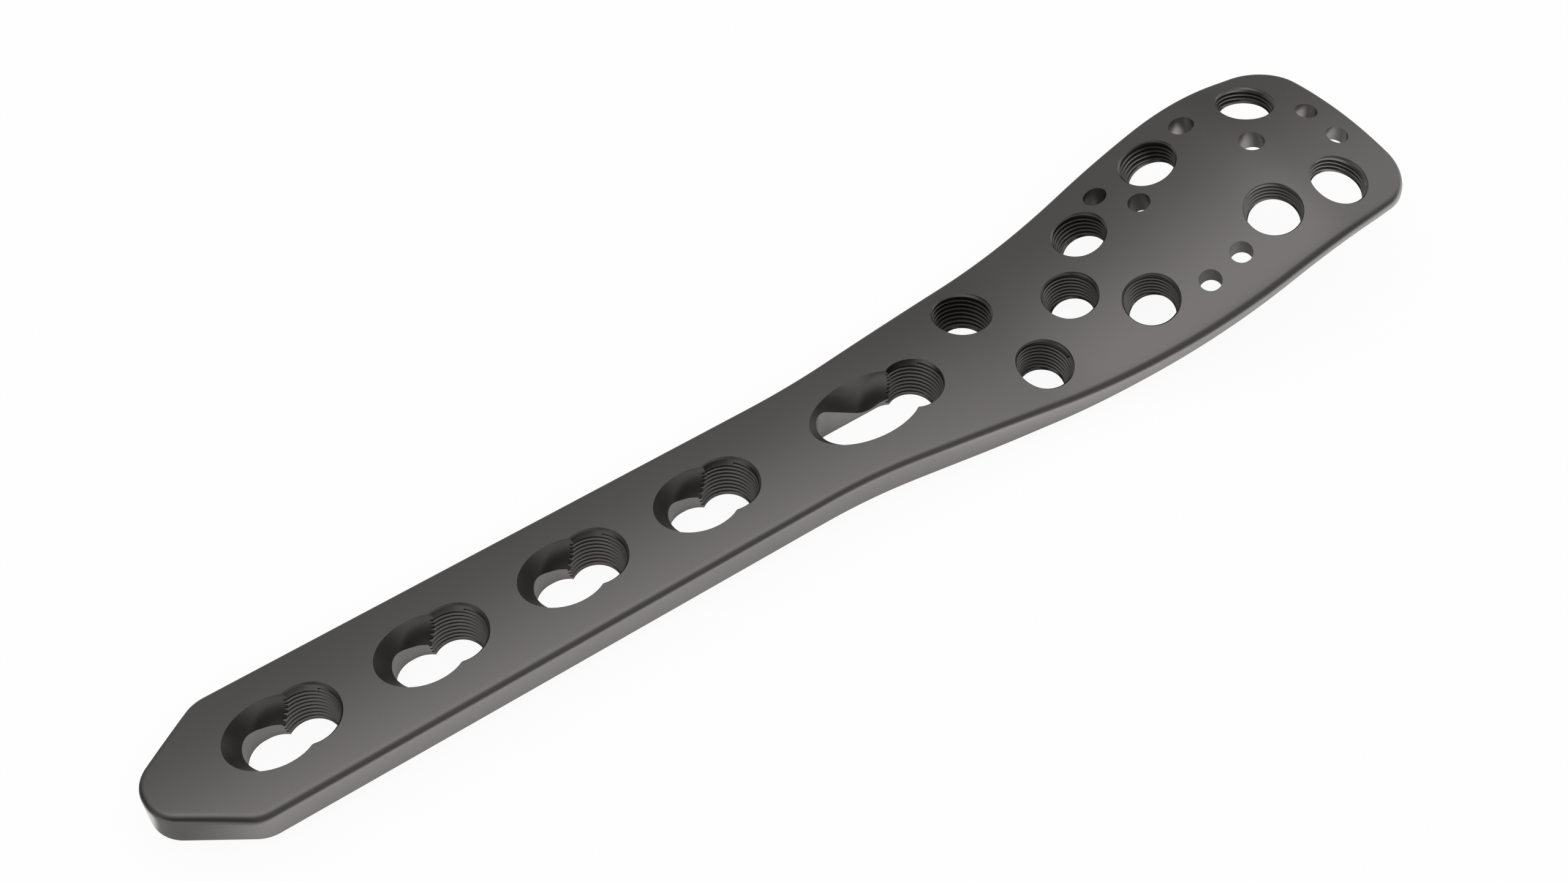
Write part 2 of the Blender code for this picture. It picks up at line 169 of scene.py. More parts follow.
def node(tree, kind, settings=None, values=None, out=0):
    """Adds a node: settings first, then the values or links of its sockets."""
    made = tree.nodes.new(kind)
    for key, value in (settings or {}).items():
        setattr(made, key, value)
    for key, value in (values or {}).items():
        socket = made.inputs[key]
        if isinstance(value, Sock):
            tree.links.new(value.out, socket)
        else:
            socket.default_value = value
    return Sock(tree, made.outputs[out])


print("socket sums ready")

# %% Colours and directions
def mix_colour(tree, share, first, second):
    """Blend of two colours by a share."""
    settings = {"data_type": "RGBA"}
    return node(tree, "ShaderNodeMix", settings, {0: share, 6: first, 7: second}, out=2)


def aim(tree, direction, along):
    """How far a direction points along a fixed one, from -1 to 1."""
    values = {0: direction, 1: Vector(along).normalized()}
    return node(tree, "ShaderNodeVectorMath", {"operation": "DOT_PRODUCT"}, values, out=1)


print("colour and direction helpers ready")

# %% [markdown]
# ## The finish
#
# The bar is titanium that was blasted with fine beads and then anodised dark:
# a metal with a low, nearly neutral reflectance and a satin gloss. A drawn
# texture would need the mesh unwrapped and would show seams in every bore, so
# the finish is 3-D noise in the object's own metres instead. A grain far finer
# than a millimetre breaks the highlights, and a slow cloud changes the gloss a
# little across the face, which keeps the metal from looking like plastic.
# One recipe serves four cuts: the blasted outside, the seats that a ball-ended
# cutter left coarser, the turns of the thread, whose darker colour is painted
# shade for the shadow in their grooves, and the walls of the slots and
# guide-wire bores, whose lighter colour is a painted reflection of the white
# table below.

# %% Titanium
CLOUDS_PER_METRE = 90.0
GRAIN_IN_SHADE, CLOUD_IN_SHADE = 0.28, 0.35
GRAIN_IN_GLOSS, CLOUD_IN_GLOSS = 0.04, 0.03


def titanium(name, colour, rough, grain_mm, relief_mm, cloud):
    """Satin titanium; the grain's size and relief tell one cut from another."""
    material = bpy.data.materials.new(name)
    material.use_nodes = True
    tree = material.node_tree
    shader = tree.nodes["Principled BSDF"]
    shader.inputs["Metallic"].default_value = 1.0
    place = node(tree, "ShaderNodeTexCoord", out=3)
    noise = {"noise_dimensions": "3D"}
    grain = {"Vector": place, "Scale": 1.0 / (grain_mm * MM), "Detail": 3.0}
    clouds = {"Vector": place, "Scale": CLOUDS_PER_METRE, "Detail": 2.0}
    fine = node(tree, "ShaderNodeTexNoise", noise, grain)
    slow = node(tree, "ShaderNodeTexNoise", noise, clouds)
    lively = (fine - 0.5) * 2.0
    drift = (slow - 0.5) * 2.0
    light = tuple(c * (1.0 + cloud) for c in colour) + (1.0,)
    dark = tuple(c * (1.0 - cloud) for c in colour) + (1.0,)
    mottle = 0.5 + GRAIN_IN_SHADE * lively + CLOUD_IN_SHADE * drift
    shade = mix_colour(tree, mottle, dark, light)
    tree.links.new(shade.out, shader.inputs["Base Color"])
    gloss = rough + GRAIN_IN_GLOSS * lively + CLOUD_IN_GLOSS * drift
    tree.links.new(gloss.out, shader.inputs["Roughness"])
    bump_values = {"Strength": 1.0, "Distance": relief_mm * MM, "Height": fine}
    relief = node(tree, "ShaderNodeBump", None, bump_values)
    tree.links.new(relief.out, shader.inputs["Normal"])
    return material


print("one recipe for every cut")

# %% The four cuts
# Name, colour, roughness, grain and relief in mm, and how much the cloud shows.
FINISHES = [
    titanium("satin_titanium", (0.205, 0.197, 0.193), 0.31, 0.16, 0.0008, 0.04),
    titanium("milled_seat_titanium", (0.160, 0.153, 0.149), 0.42, 0.30, 0.002, 0.10),
    # The thread's darker colour is painted shade, standing in for the shadow in its grooves.
    titanium("thread_titanium_painted_shade", (0.152, 0.146, 0.142), 0.30, 0.16, 0.001, 0.05),
    # The lighter colour of the slot and guide-wire walls is a painted reflection of the white table
    # below.
    titanium("slot_wall_titanium_painted_reflection", (0.300, 0.287, 0.281), 0.34, 0.20, 0.002, 0.08),
]
SATIN_SLOT, SEAT_SLOT, THREAD_PAINTED_SHADE_SLOT, WALL_PAINTED_REFLECTION_SLOT = range(4)
print("finishes", [m.name for m in FINISHES])

# %% [markdown]
# ## The centre line
#
# Seen from the side, the top face is level along the shaft, dips a little at the
# neck, climbs under the head, and levels off again near the end. It could be a
# free curve through points, but each change of slope is really one bend that
# eases over a short run, as a bending die leaves it: a parabola that meets both
# straights with no kink. So each line is a short list of bends, and the
# underside has a list of its own, because the head was forged thinner.

# %% Heights along and across
# Each bend: its place past the long hole and half its run, both in mm, and the
# change of slope.
CROWN_BENDS = ((1.0, 16.0, -0.047), (23.7, 11.0, 0.372), (53.2, 6.6, -0.400))


def eased_bend(x, at, ease, change):
    """Height gained after a line turns by the slope `change` at `at`."""
    run = (x - (at - ease)) / (2.0 * ease)
    if run <= 0.0:
        return 0.0
    if run < 1.0:
        return change * ease * run * run
    return change * (x - at)


def bent_line(x, bends):
    """Height of a line that starts level and turns at each of its bends."""
    u = x - LONG_HOLE_AT
    return sum(eased_bend(u, at * MM, ease * MM, change) for at, ease, change in bends)


def crown_height(x):
    """Height of the crown of the top face along the plate."""
    return bent_line(x, CROWN_BENDS)


def crown_slope(x):
    """Slope of the crown, from the heights a tenth of a millimetre either side."""
    return (crown_height(x + 0.1 * MM) - crown_height(x - 0.1 * MM)) / (0.2 * MM)


def crown_sag(y):
    """How far the top face, part of a cylinder along the plate, falls off the crown."""
    return y * y / (2.0 * CROWN_RADIUS)


def top_height(x, y):
    """Height of the top face."""
    return crown_height(x) - crown_sag(y)


print("crown at the head end in mm", round(crown_height(HEAD_END) / MM, 2))

# %% Thickness and underside
UNDER_BENDS = ((23.4, 9.0, 0.39), (54.2, 6.6, -0.45))
FOOT_BENDS = ((-19.0, 4.0, 0.018), (5.0, 4.0, -0.061), (24.0, 4.0, 0.038), (42.0, 4.0, -0.030))
WALL_DEPTH = 4.48 * MM


def eased_share(x, start, run):
    """0 before `start`, 1 after `start + run`, eased between."""
    share = max(0.0, min(1.0, (x - start) / run))
    return share * share * (3.0 - 2.0 * share)


def under_height(x, y):
    """Flat under the shaft, hollowed like the crown under the head."""
    hollow = eased_share(x - LONG_HOLE_AT, 19.0 * MM, 26.0 * MM)
    return bent_line(x, UNDER_BENDS) - THICKNESS - hollow * crown_sag(y)


def plate_thickness(x):
    """Thickness under the crown."""
    return crown_height(x) - under_height(x, 0.0)


def wall_foot(x):
    """Level at which the upright wall stops and the lower bevel starts."""
    return crown_height(x) - (WALL_DEPTH + bent_line(x, FOOT_BENDS))


print("thickness at the head end in mm", round(plate_thickness(HEAD_END) / MM, 2))

# %% [markdown]
# ## The outline
#
# From above, one long side is five straight runs with rounded corners: across
# the tip, up its slanted shoulder, along the slightly tapering shaft, out along
# the flare and back in to the head end. A designer would draw those lines and
# then round them, so the code does the same, and mirrors the side.

# %% Corners of one side
SHOULDER_SLOPE, TAPER_SLOPE, FLARE_SLOPE, CLOSE_SLOPE = 0.663, -0.0031, 0.1300, -0.116
TIP_HALF_WIDTH = 2.54 * MM
TIP_ROUNDING, END_ROUNDING = 4.35 * MM, 6.3 * MM
NECK_RUN, CREST_RUN = 12.0 * MM, 28.0 * MM


def line_crossing(p, slope_p, q, slope_q):
    """Where two lines cross, each given by a point and a slope."""
    x = (q[1] - p[1] + slope_p * p[0] - slope_q * q[0]) / (slope_p - slope_q)
    return Vector((x, p[1] + slope_p * (x - p[0])))


def outline_corners():
    """Corners of one long side with the rounding each one gets."""
    shaft = (LONG_HOLE_AT / 3.0, SHAFT_HALF_WIDTH)
    tip = Vector((-TIP_REACH, TIP_HALF_WIDTH))
    shoulder = line_crossing(tip, SHOULDER_SLOPE, shaft, TAPER_SLOPE)
    lost_to_rounding = (FLARE_SLOPE - CLOSE_SLOPE) * CREST_RUN / 8.0
    crest = Vector((CREST_AT, HEAD_HALF_WIDTH + lost_to_rounding))
    neck = line_crossing(crest, FLARE_SLOPE, shaft, TAPER_SLOPE)
    end = Vector((HEAD_END, crest.y + CLOSE_SLOPE * (HEAD_END - crest.x)))
    return (
        (tip, TIP_ROUNDING),
        (shoulder, TIP_ROUNDING),
        (neck, NECK_RUN / (FLARE_SLOPE - TAPER_SLOPE)),
        (crest, CREST_RUN / (FLARE_SLOPE - CLOSE_SLOPE)),
        (end, END_ROUNDING),
    )


for corner, radius in outline_corners():
    print("corner", [round(v / MM, 2) for v in corner], "rounding", round(radius / MM, 2))

# %% One long side as points
STEP = 1.1 * MM
FINE_STEP = 0.35 * MM


def round_corner(before, corner, after, radius):
    """Points and outward normals of the arc that rounds one corner."""
    d0 = (corner - before).normalized()
    d1 = (after - corner).normalized()
    side = 1.0 if d0.x * d1.y - d0.y * d1.x > 0.0 else -1.0
    angle = math.acos(max(-1.0, min(1.0, d0.dot(d1))))
    n0 = Vector((-d0.y, d0.x))
    centre = corner - d0 * (radius * math.tan(angle / 2.0)) + n0 * (radius * side)
    step = FINE_STEP if radius < HOLE_PITCH else STEP
    count = max(6, math.ceil(angle * radius / step))
    points = []
    for i in range(count + 1):
        turned = n0.copy()
        turned.rotate(Matrix.Rotation(side * angle * i / count, 2))
        points.append((centre - turned * (radius * side), turned))
    return points


def side_points():
    """One long side, tip to head end, with no step longer than STEP."""
    corners = outline_corners()
    places = [Vector((corners[0][0].x, 0.0))] + [c for c, r in corners]
    places.append(Vector((corners[-1][0].x, 0.0)))
    rough = []
    for i, (corner, radius) in enumerate(corners):
        rough += round_corner(places[i], corner, places[i + 2], radius)
    fine = [rough[0]]
    for a, b in zip(rough, rough[1:]):
        count = max(1, math.ceil((b[0] - a[0]).length / STEP))
        for i in range(1, count + 1):
            share = i / count
            fine.append((a[0].lerp(b[0], share), a[1].lerp(b[1], share).normalized()))
    return fine


SIDE = side_points()
print("points along one side", len(SIDE))

# %% [markdown]
# ## The blank
#
# The blank could be one extruded outline with bevelled edges, but the rim has to
# follow the crown and the bends. So it is a stack of closed rings that share one
# plan: round the top edge, down the wall and in along the bevel. On the real
# plate polishing has eased the top edge a little more on its near side, and the
# rings take that from the way each point faces. The top and the underside are
# then filled with strips across the plate that follow the height rules.

# %% Rings
ACROSS = 37
BEVEL = 1.5 * MM
LEAST_BEVEL_RISE = 0.4 * MM
EDGE_STEPS = 6
EDGE_RADIUS, EDGE_EASING = 0.74 * MM, 0.18 * MM
END_SKEW, SKEW_RUN = 0.040, 15.0 * MM


def end_skew(x, y):
    """The head end is cut slightly askew: its near corner reaches further."""
    return x - END_SKEW * y * eased_share(x, CREST_AT, SKEW_RUN)


def ring_places():
    """Closed ring of plan points with outward normals."""
    ring = [(p.x, p.y, n.x, n.y) for p, n in SIDE]
    end, tip = SIDE[-1][0], SIDE[0][0]
    for i in range(1, ACROSS):
        ring.append((end.x, end.y * (1.0 - 2.0 * i / ACROSS), 1.0, 0.0))
    ring += [(p.x, -p.y, n.x, -n.y) for p, n in reversed(SIDE)]
    for i in range(1, ACROSS):
        ring.append((tip.x, -tip.y * (1.0 - 2.0 * i / ACROSS), -1.0, 0.0))
    return [(end_skew(x, y), y, nx, ny) for x, y, nx, ny in ring]


def edge_ring(ring, phi):
    """One ring of the rounded top edge, whose radius is larger at the near side."""
    points = []
    for x, y, nx, ny in ring:
        radius = EDGE_RADIUS - EDGE_EASING * ny
        inset = radius * (1.0 - math.sin(phi))
        spot = (x - nx * inset, y - ny * inset)
        points.append((spot[0], spot[1], top_height(*spot) - radius * (1.0 - math.cos(phi))))
    return points


def foot_ring(ring):
    """Lower end of the upright wall."""
    points = []
    for x, y, nx, ny in ring:
        least = under_height(x - nx * BEVEL, y - ny * BEVEL) + LEAST_BEVEL_RISE
        points.append((x, y, max(wall_foot(x), least)))
    return points


def under_ring(ring):
    """Inner end of the bevel, on the underside."""
    spots = [(x - nx * BEVEL, y - ny * BEVEL) for x, y, nx, ny in ring]
    return [(x, y, under_height(x, y)) for x, y in spots]


def wall_rings(ring):
    """Rounded top edge, wall and bevel, from the top face down."""
    quarter = [0.5 * math.pi * i / EDGE_STEPS for i in range(EDGE_STEPS + 1)]
    return [edge_ring(ring, phi) for phi in quarter] + [foot_ring(ring), under_ring(ring)]


print("ring has", len(ring_places()), "points")

# %% Filling the top and the underside
def face_fill(bm, ring, height, flip):
    """Strips across the plate between the two long sides of a ring."""
    stations = len(SIDE)
    rows = []
    for i in range(stations):
        left = ring[i]
        right = ring[(stations + ACROSS - 1) + (stations - 1 - i)]
        row = [left]
        for j in range(1, ACROSS):
            if i == stations - 1:
                row.append(ring[stations - 1 + j])
            elif i == 0:
                row.append(ring[len(ring) - j])
            else:
                spot = left.co.lerp(right.co, j / ACROSS)
                row.append(bm.verts.new((spot.x, spot.y, height(spot.x, spot.y))))
        rows.append(row + [right])
    for a, b in zip(rows, rows[1:]):
        for j in range(ACROSS):
            quad = (a[j], a[j + 1], b[j + 1], b[j])
            bm.faces.new(quad if flip else tuple(reversed(quad)))


def join_rings(bm, rings):
    """Walls between closed rings of the same count."""
    for upper, lower in zip(rings, rings[1:]):
        for i in range(len(upper)):
            j = (i + 1) % len(upper)
            bm.faces.new((upper[i], upper[j], lower[j], lower[i]))


def blank_mesh():
    """The plate before any hole is cut."""
    bm = bmesh.new()
    loops = [[bm.verts.new(p) for p in loop] for loop in wall_rings(ring_places())]
    join_rings(bm, loops)
    face_fill(bm, loops[0], top_height, False)
    face_fill(bm, loops[-1], under_height, True)
    return bm


print("top and underside have", ACROSS, "strips each")

# %% The blank as an object
def set_object(bm, name, slot=SATIN_SLOT):
    """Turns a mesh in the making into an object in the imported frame."""
    bmesh.ops.translate(bm, vec=SET_DOWN, verts=bm.verts)
    bmesh.ops.recalc_face_normals(bm, faces=bm.faces)
    for face in bm.faces:
        face.smooth = True
        face.material_index = slot
    mesh = bpy.data.meshes.new(name)
    bm.to_mesh(mesh)
    bm.free()
    for finish in FINISHES:
        mesh.materials.append(finish)
    thing = bpy.data.objects.new(name, mesh)
    bpy.context.scene.collection.objects.link(thing)
    return thing


PLATE = set_object(blank_mesh(), "plate")
print("blank faces", len(PLATE.data.polygons))

# %% [markdown]
# ## The slots and the sloping seats
#
# The compression side of a combination hole is milled with a ball-ended cutter
# that slides down a slope, so the screw's round head slides too and pulls the
# bone ends together. Below the seat a straight slot lets the screw through.
# Modelling the seat's edge by hand on the crowned face would be guesswork, so
# both are swept here as closed cutters and taken out of the blank, as the mill
# does it.

# %% Slot and seat cutters
ROUND_SIDES = 64
BALL_STEPS = 16
REACH = 3.0 * MM


def add_slot(bm, near, far, radius):
    """Upright prism with round ends."""
    half_turn = ROUND_SIDES // 2
    rim = []
    for centre, start in ((near, -0.5), (far, 0.5)):
        for i in range(half_turn + 1):
            a = math.pi * (start + i / half_turn)
            rim.append((centre + radius * math.cos(a), radius * math.sin(a)))
    low = [bm.verts.new((x, y, -THICKNESS - REACH)) for x, y in rim]
    high = [bm.verts.new((x, y, REACH)) for x, y in rim]
    join_rings(bm, [low, high])
    bm.faces.new(list(reversed(low)))
    bm.faces.new(high)


def add_seat(bm, seat, slope, radius):
    """Path of a ball-ended cutter that slides up a slope from its seat."""
    along = Vector((-math.cos(slope), 0.0, math.sin(slope)))
    side = Vector((0.0, 1.0, 0.0))
    up = along.cross(side)
    quarter = [0.5 * math.pi * i / BALL_STEPS for i in range(1, BALL_STEPS + 1)]
    steps = [(-radius * math.cos(a), radius * math.sin(a)) for a in quarter]
    steps.append(((radius + REACH - seat.z) / math.sin(slope) + radius, radius))
    loops = []
    for offset, r in steps:
        loop = []
        for j in range(ROUND_SIDES):
            b = 2.0 * math.pi * j / ROUND_SIDES
            round_it = side * (r * math.cos(b)) + up * (r * math.sin(b))
            loop.append(bm.verts.new(seat + along * offset + round_it))
        loops.append(loop)
    pole = bm.verts.new(seat - along * radius)
    for j in range(ROUND_SIDES):
        bm.faces.new((pole, loops[0][(j + 1) % ROUND_SIDES], loops[0][j]))
    join_rings(bm, loops)
    bm.faces.new(loops[-1])


print("slot and seat cutters have", ROUND_SIDES, "sides")

# %% Slots and seats of the shaft
# Slot: how far the centres of its round ends lie behind the bore, and its half
# width. Seat: how far the ball's centre lies behind the bore and below the
# crown. All in mm, with the slope in degrees and the ball's radius in mm.
SHORT_HOLE = {"slot": (3.95, 4.35, 3.26), "seat": (3.2, 1.0), "slope": 52.0, "ball": 4.36}
LONG_HOLE = {"slot": (3.0, 10.6, 3.06), "seat": (4.0, 2.35), "slope": 36.7, "ball": 4.55}


def add_compression_side(slots, seats, bore_at, hole):
    """The slot and the seat that go with one threaded bore of the shaft."""
    near, far, half_width = hole["slot"]
    back, deep = hole["seat"]
    ball_at = Vector((bore_at - back * MM, 0.0, -deep * MM))
    add_slot(slots, bore_at - near * MM, bore_at - far * MM, half_width * MM)
    add_seat(seats, ball_at, math.radians(hole["slope"]), hole["ball"] * MM)


SHORT_BORES = [HOLE_PITCH * i for i in range(4)]
SHAFT_BORES = SHORT_BORES + [LONG_HOLE_AT]
slots, seats = bmesh.new(), bmesh.new()
for x in SHORT_BORES:
    add_compression_side(slots, seats, x, SHORT_HOLE)
add_compression_side(slots, seats, LONG_HOLE_AT, LONG_HOLE)
# The slot cutter leaves the lighter finish, a painted reflection, on the slot walls.
CUTTERS = [set_object(slots, "slot_cutter", WALL_PAINTED_REFLECTION_SLOT), set_object(seats, "seat_cutter", SEAT_SLOT)]
print("holes along the shaft", len(SHAFT_BORES))

# %% [markdown]
# ## The threads
#
# A locking screw has a threaded head, so each round bore is a tapered thread.
# A bump in the finish would look like stacked rings and vanish at the rim, so
# the turns are real. The cutter is one surface whose rows run along the helix:
# two rows on the crest and two in the groove for each turn, each column a little
# lower than the one before, so that after a full turn a row has dropped by one
# pitch and joins the row below it.
# In a leaning bore the turns stay level with the face round the mouth, which is
# how they show in the photograph. The groove runs in just under the countersink
# and runs out above the underside, where the cone is left plain.

# %% Sizes of the thread
THREAD_PITCH = 0.58 * MM
THREAD_DEPTH = 0.34 * MM
# Share of the pitch below the start of a turn, and share of the full depth.
THREAD_ROWS = ((0.0, 0.0), (0.26, 0.0), (0.50, 1.0), (0.76, 1.0))
TAPER = 0.137
CHAMFER = 0.24 * MM
MOUTH_DROP = 0.1 * MM
RUN_IN, RUN_IN_EASE = 0.38 * MM, 0.12 * MM
RUN_OUT, RUN_OUT_EASE = 0.12 * MM, 0.35 * MM
LEAST_GROOVE = 0.05
COLUMNS = 60
START_ANGLE = math.radians(45.0)
TURN = 2.0 * math.pi


def crest_radius(mouth, z):
    """Radius of the cone on the thread crests."""
    return mouth - CHAMFER + TAPER * (z + MOUTH_DROP + CHAMFER)


def groove_share(spot):
    """Full depth in the bar, run out to almost nothing near both faces."""
    below = top_height(spot.x, spot.y) - spot.z
    above = spot.z - under_height(spot.x, spot.y)
    run_in = (below - RUN_IN) / RUN_IN_EASE
    run_out = (above - RUN_OUT) / RUN_OUT_EASE
    return max(LEAST_GROOVE, min(1.0, run_in, run_out))


print("grooves down a shaft bore", round(THICKNESS / THREAD_PITCH, 1))

# %% Thread cutter
def join_turns(bm, grid, top, low, per_turn):
    """Joins the last column of each turn to the first column of the next."""
    end = COLUMNS - 1
    last = len(grid) - 1
    for r in range(last - per_turn):
        s = r + per_turn
        bm.faces.new((grid[r][end], grid[s][0], grid[s + 1][0], grid[r + 1][end]))
    first = [grid[r][0] for r in range(per_turn + 1)]
    bm.faces.new((top[end], top[0], first[0], first[1], first[per_turn], grid[0][end]))
    bm.faces.new(first[1:])
    foot = [grid[r][end] for r in range(last - per_turn, last + 1)]
    bm.faces.new([grid[last][0]] + foot + [low[end], low[0]])


def add_thread(bm, mouth, depth, first_drop, place, face):
    """One closed thread cutter about Z of `place`, its turns level with `face`."""
    turns = math.ceil((depth + REACH - first_drop) / THREAD_PITCH)
    per_turn = len(THREAD_ROWS)
    square = place.to_3x3().transposed() @ face.to_3x3().col[2]

    def on_cone(z, radius, column):
        """Point of the cutter at a column of the turn."""
        a = START_ANGLE - TURN * column / COLUMNS
        return place @ Vector((radius * math.cos(a), radius * math.sin(a), z))

    def groove_vertex(row, column):
        """Vertex of one row of the helix, on the crest or in the groove."""
        turn, part = divmod(row, per_turn)
        phase, cut = THREAD_ROWS[part]
        a = START_ANGLE - TURN * column / COLUMNS
        slant = -(square.x * math.cos(a) + square.y * math.sin(a)) * mouth / square.z
        z = slant - first_drop - THREAD_PITCH * (turn + phase + column / COLUMNS)
        radius = crest_radius(mouth, z)
        groove = cut * THREAD_DEPTH * groove_share(on_cone(z, radius, column))
        return bm.verts.new(on_cone(z, radius + groove, column))

    def end_ring(z):
        """Plain ring of the cone, clear of the bar."""
        return [bm.verts.new(on_cone(z, crest_radius(mouth, z), c)) for c in range(COLUMNS)]

    last = turns * per_turn
    grid = [[groove_vertex(r, c) for c in range(COLUMNS)] for r in range(last + 1)]
    top = end_ring(REACH)
    low = end_ring(-first_drop - THREAD_PITCH * (turns + 1.5) - 2.0 * MM)
    for c in range(COLUMNS - 1):
        for r in range(last):
            bm.faces.new((grid[r][c], grid[r][c + 1], grid[r + 1][c + 1], grid[r + 1][c]))
        bm.faces.new((top[c], top[c + 1], grid[0][c + 1], grid[0][c]))
        bm.faces.new((grid[last][c], grid[last][c + 1], low[c + 1], low[c]))
    join_turns(bm, grid, top, low, per_turn)
    bm.faces.new(top)
    bm.faces.new(low)


print("thread cutter has", COLUMNS, "columns to a turn")

# %% Countersinks and guide-wire bores
SINK = 0.6 * MM
WIRE_SIDES = 40


def add_turned(bm, profile, place, sides):
    """Closed turned cutter about Z of `place`, from heights and radii."""
    rings = []
    for z, radius in profile:
        spin = [TURN * i / sides for i in range(sides)]
        rim = [place @ Vector((radius * math.cos(a), radius * math.sin(a), z)) for a in spin]
        rings.append([bm.verts.new(spot) for spot in rim])
    join_rings(bm, rings)
    bm.faces.new(list(reversed(rings[0])))
    bm.faces.new(rings[-1])


def add_mouth(bm, mouth, face):
    """Countersink that breaks the rim of a bore, square to the face."""
    tip = (-MOUTH_DROP - CHAMFER - SINK, mouth - CHAMFER - SINK)
    add_turned(bm, ((REACH, mouth), (-MOUTH_DROP, mouth), tip), face, COLUMNS)


def add_wire_bore(bm, radius, depth, place):
    """Plain round cutter for a guide wire."""
    add_turned(bm, ((-depth - REACH, radius), (REACH, radius)), place, WIRE_SIDES)


print("countersinks reach", round((MOUTH_DROP + CHAMFER) / MM, 2), "mm down")

# %% [markdown]
# ## The bores of the head
#
# The screws of the head fan out, so its bores lean. Their places are shares of
# the head's length and half width, and each one has the two angles of its axis
# and the radius of its mouth. A countersink is turned square to the face it
# breaks, so each bore has two frames: one along its axis, one on the face. The
# thin bores between them guide wires.

# %% Places of the head's bores
# Share of the head's length and half width, lean along and across in degrees,
# and radius of the mouth in mm.
HEAD_BORES = (
    (0.173, 0.381, -0.6, 11.2, 3.86),
    (0.223, -0.404, -4.8, -3.6, 3.66),
    (0.353, 0.003, -13.6, 0.6, 3.66),
    (0.457, -0.445, -14.9, -1.5, 3.66),
    (0.453, 0.444, -15.6, 12.3, 3.66),
    (0.638, 0.595, -13.5, 17.6, 3.86),
    (0.865, 0.555, -8.0, 5.2, 3.86),
    (0.725, -0.481, -16.2, -0.3, 3.86),
    (0.869, -0.557, -7.5, -1.0, 3.86),
)
WIRE_BORES = (
    (0.529, 0.655, 0.5, 3.0, 1.46),
    (0.568, 0.320, -16.0, 2.8, 1.46),
    (0.737, 0.693, -9.0, 16.3, 1.65),
    (0.796, 0.146, -12.0, 8.4, 1.65),
    (0.940, 0.170, 5.0, 1.6, 1.46),
    (0.943, -0.183, -3.6, -3.0, 1.46),
    (0.630, -0.600, -20.4, -8.2, 1.46),
    (0.557, -0.623, -21.7, -10.0, 1.46),
)


def leaning_frame(spot, slope_x, slope_y):
    """Frame at a spot whose Z leans by two slopes."""
    axis = Vector((slope_x, slope_y, 1.0))
    return Matrix.Translation(spot) @ axis.to_track_quat("Z", "Y").to_matrix().to_4x4()


def bore_frames(along, across, lean_x, lean_y):
    """Two frames on the top face: Z along the bore, and Z square to the face."""
    x = LONG_HOLE_AT + along * (HEAD_END - LONG_HOLE_AT)
    y = across * HEAD_HALF_WIDTH
    spot = Vector((x, y, top_height(x, y)))
    bore = leaning_frame(spot, math.tan(math.radians(lean_x)), math.tan(math.radians(lean_y)))
    return bore, leaning_frame(spot, -crown_slope(x), y / CROWN_RADIUS)


print("bores in the head", len(HEAD_BORES) + len(WIRE_BORES))

# %% Cutters of all the bores
SHAFT_MOUTH = 4.0 * MM
SHAFT_FIRST_TURN = 0.66 * MM
HEAD_FIRST_TURN = 0.1 * MM

threads, mouths, wires = bmesh.new(), bmesh.new(), bmesh.new()
for x in SHAFT_BORES:
    upright = Matrix.Translation((x, 0.0, 0.0))
    add_thread(threads, SHAFT_MOUTH, THICKNESS, SHAFT_FIRST_TURN, upright, upright)
    add_mouth(mouths, SHAFT_MOUTH, upright)
for along, across, lean_x, lean_y, mouth in HEAD_BORES:
    place, face = bore_frames(along, across, lean_x, lean_y)
    depth = plate_thickness(place.translation.x)
    add_thread(threads, mouth * MM, depth, HEAD_FIRST_TURN, place, face)
    add_mouth(mouths, mouth * MM, face)
for along, across, lean_x, lean_y, radius in WIRE_BORES:
    place, face = bore_frames(along, across, lean_x, lean_y)
    add_wire_bore(wires, radius * MM, plate_thickness(place.translation.x), place)
# The thread cutter leaves the darker finish, painted shade, on the turns.
CUTTERS.append(set_object(threads, "thread_cutter", THREAD_PAINTED_SHADE_SLOT))
CUTTERS.append(set_object(mouths, "mouth_cutter", SATIN_SLOT))
# The wire cutter leaves the lighter finish, a painted reflection, on the guide-wire bores.
CUTTERS.append(set_object(wires, "wire_cutter", WALL_PAINTED_REFLECTION_SLOT))
print("threaded bores", len(SHAFT_BORES) + len(HEAD_BORES), "wire bores", len(WIRE_BORES))

# %% [markdown]
# ## Cutting the holes
#
# Each cutter is taken out with an exact Boolean, which keeps the finish of the
# cutter on the faces it leaves, so a seat or a thread needs no painting by hand.
# The result is written into one plain mesh, so that nothing has to be worked out
# again, and the cutters are thrown away. Edges that turn sharply stay crisp and
# all others are shaded smooth.

# %% Cut
SHARP = math.radians(24.0)
WELD = 1e-7


def cut_all(thing, cutters):
    """Takes every cutter out of a thing and throws the cutters away."""
    for cutter in cutters:
        step = thing.modifiers.new(cutter.name, "BOOLEAN")
        step.operation = "DIFFERENCE"
        step.solver = "EXACT"
        step.object = cutter
    graph = bpy.context.evaluated_depsgraph_get()
    mesh = bpy.data.meshes.new_from_object(thing.evaluated_get(graph))
    thing.modifiers.clear()
    thing.data = mesh
    for cutter in cutters:
        bpy.data.objects.remove(cutter, do_unlink=True)


